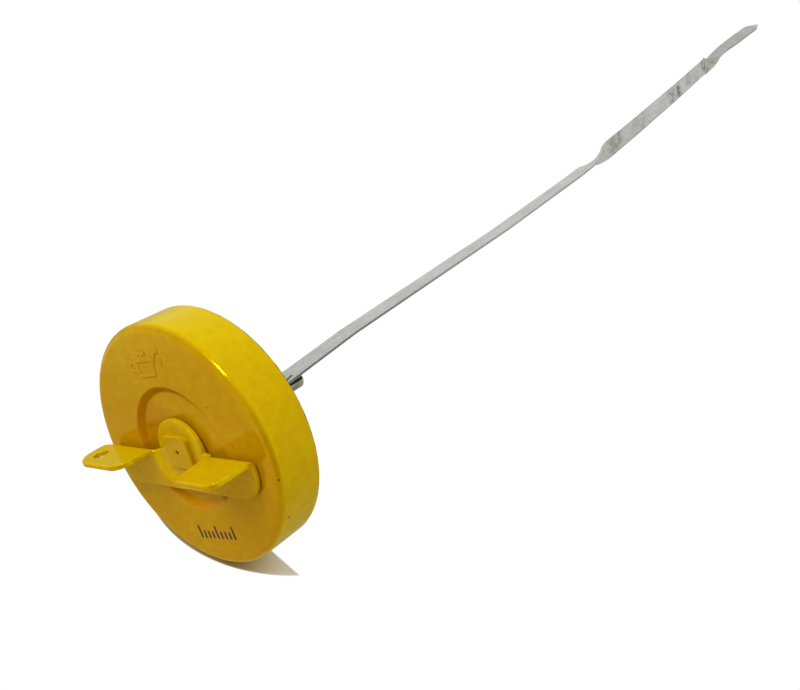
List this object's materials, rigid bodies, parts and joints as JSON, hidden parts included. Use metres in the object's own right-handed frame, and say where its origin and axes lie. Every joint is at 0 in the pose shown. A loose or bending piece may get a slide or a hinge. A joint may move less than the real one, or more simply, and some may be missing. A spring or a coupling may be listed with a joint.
{
  "type": "oil filler cap with dipstick",
  "caption": "Round pressed oil filler cap with a folded wing handle, a quarter-turn lock bar and a long twisted flat gauge blade for reading the oil level.",
  "frame": {"origin": "on the cap's axis, in the plane where the gasket seats on the filler neck's lip", "axes": "+Z out of the neck through the cap's face, so the blade hangs towards -Z; +X along the wings, away from the wing with the lanyard hole; +Y towards the side of the face that carries the embossed sign"},
  "size_m": [0.076, 0.0878, 0.5703],
  "materials": {
    "yellow_enamel": "gloss",
    "gasket_rubber": "matte",
    "plated_steel": "satin",
    "stem_steel": "satin",
    "spring_steel": "satin",
    "blade_steel": "brushed"
  },
  "bodies": {
    "cap": {"cap_shell": "yellow_enamel", "gasket": "gasket_rubber", "gasket_retainer": "plated_steel", "stem_seal": "gasket_rubber"},
    "handle": {"wing_handle": "yellow_enamel", "hub_washer": "plated_steel", "stem": "stem_steel", "seal_cup": "plated_steel", "spring": "spring_steel", "bar_washer": "plated_steel", "lock_bar": "plated_steel", "cross_pin": "spring_steel", "gauge_blade": "blade_steel", "blade_rivets": "blade_steel"}
  },
  "joints": [
    {"name": "handle_turn", "type": "hinge", "parent": "cap", "child": "handle", "pos_m": [0, 0, 0], "axis": [0, 0, 1], "range_deg": [0, 90]}
  ]
}
